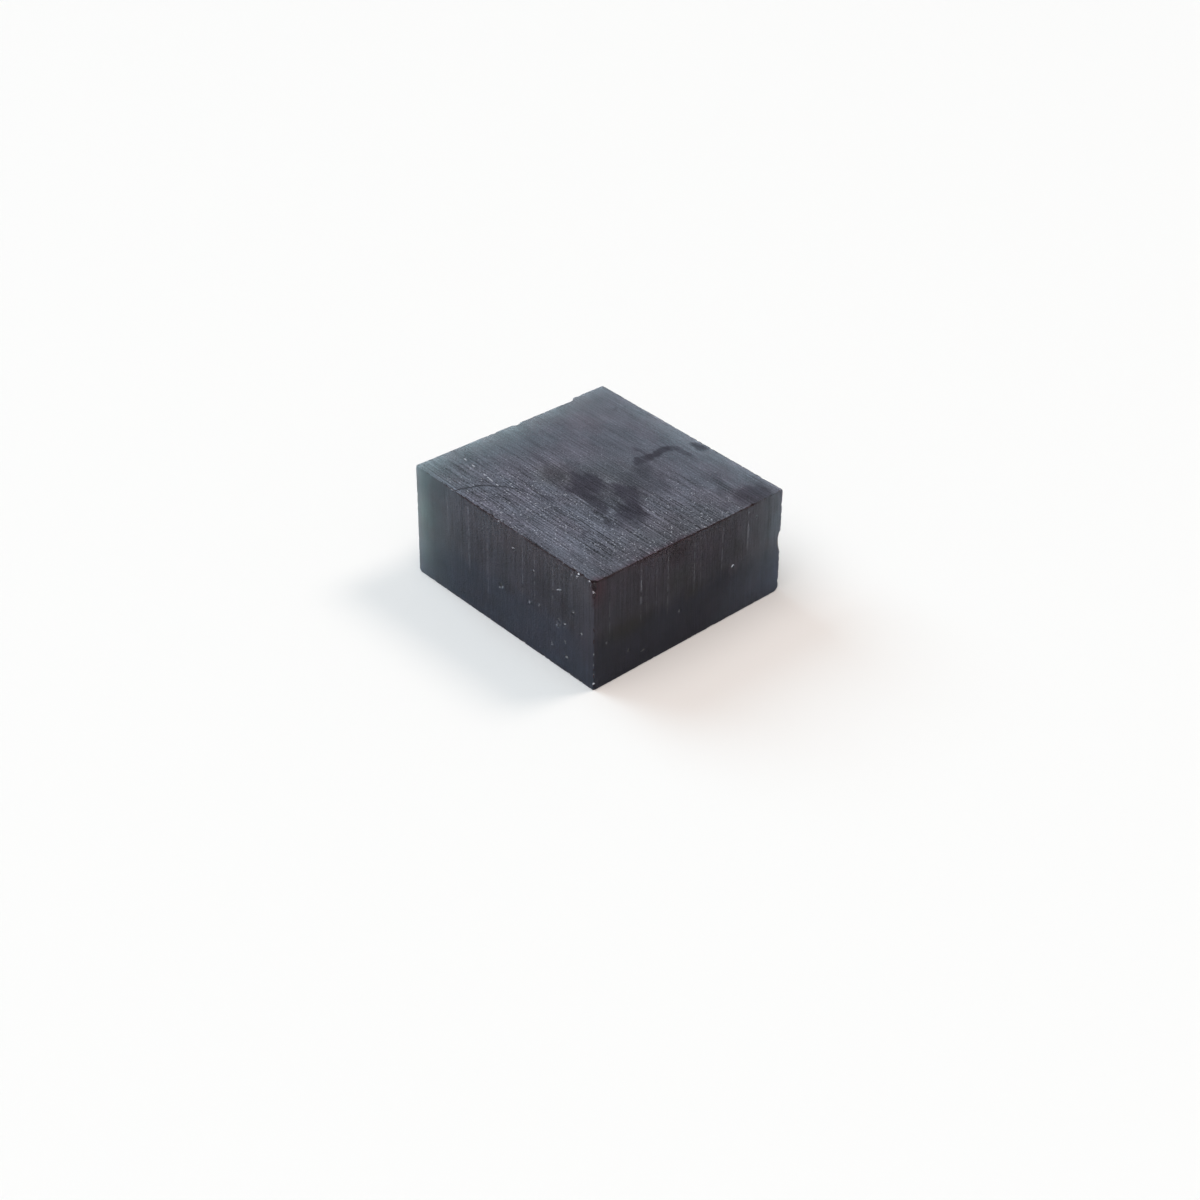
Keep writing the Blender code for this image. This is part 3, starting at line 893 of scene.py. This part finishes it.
def make_floor():
    bm = bmesh.new()
    bmesh.ops.create_grid(bm, x_segments=2, y_segments=2, size=FLOOR_HALF_SIZE)
    mesh = bpy.data.meshes.new("floor")
    bm.to_mesh(mesh)
    bm.free()
    floor = bpy.data.objects.new("floor", mesh)
    bpy.context.scene.collection.objects.link(floor)
    floor.data.materials.append(floor_material())


def make_camera():
    azimuth = math.radians(CAMERA_AZIMUTH)
    elevation = math.radians(CAMERA_ELEVATION)
    back = Vector((
        math.sin(azimuth) * math.cos(elevation),
        -math.cos(azimuth) * math.cos(elevation),
        math.sin(elevation),
    ))
    right = Vector((0, 0, 1)).cross(back).normalized()
    roll = Matrix.Rotation(math.radians(CAMERA_ROLL), 3, back)
    right = roll @ right
    up = back.cross(right)
    place = back * CAMERA_DISTANCE + right * CAMERA_ASIDE - up * CAMERA_BELOW
    place.y += BASE_CENTRE_Y
    data = bpy.data.cameras.new("camera")
    data.lens = FOCAL_LENGTH
    data.sensor_width = SENSOR_WIDTH
    data.clip_start = 10 * MM
    data.clip_end = 20
    camera = bpy.data.objects.new("camera", data)
    turned = Matrix((right, up, back)).transposed().to_4x4()
    camera.matrix_world = Matrix.Translation(place * MM) @ turned
    bpy.context.scene.collection.objects.link(camera)
    bpy.context.scene.camera = camera


def soft_sun(name, towards, strength, tint, spread):
    """A broad distant light that shines along a direction."""
    data = bpy.data.lights.new(name, "SUN")
    data.energy = strength
    data.color = tint
    data.angle = math.radians(spread)
    light = bpy.data.objects.new(name, data)
    light.rotation_mode = "QUATERNION"
    light.rotation_quaternion = Vector(towards).to_track_quat("-Z", "Y")
    bpy.context.scene.collection.objects.link(light)


def make_lights():
    for name, (towards, strength, tint, spread) in LIGHTS.items():
        soft_sun(name, towards, strength, tint, spread)
    world = bpy.data.worlds.new("studio")
    world.use_nodes = True
    bpy.context.scene.world = world
    n = Nodes(world.node_tree)
    background = world.node_tree.nodes["Background"]
    coordinates = world.node_tree.nodes.new("ShaderNodeTexCoord")
    height = n.most(n.parts(coordinates.outputs["Generated"])[2], 0.0)
    light = n.plus(n.times(height, OVERHEAD_LIGHT), LOWEST_LIGHT)
    light = n.plus(light, n.step(height, 0.01, 0.09, HORIZON_LIGHT, 0.0))
    n.put(background.inputs["Color"], colour(1, 1, 1))
    n.put(background.inputs["Strength"], light)
    bpy.context.scene.view_settings.view_transform = "Standard"


make_camera()
make_stone()
make_floor()
make_lights()
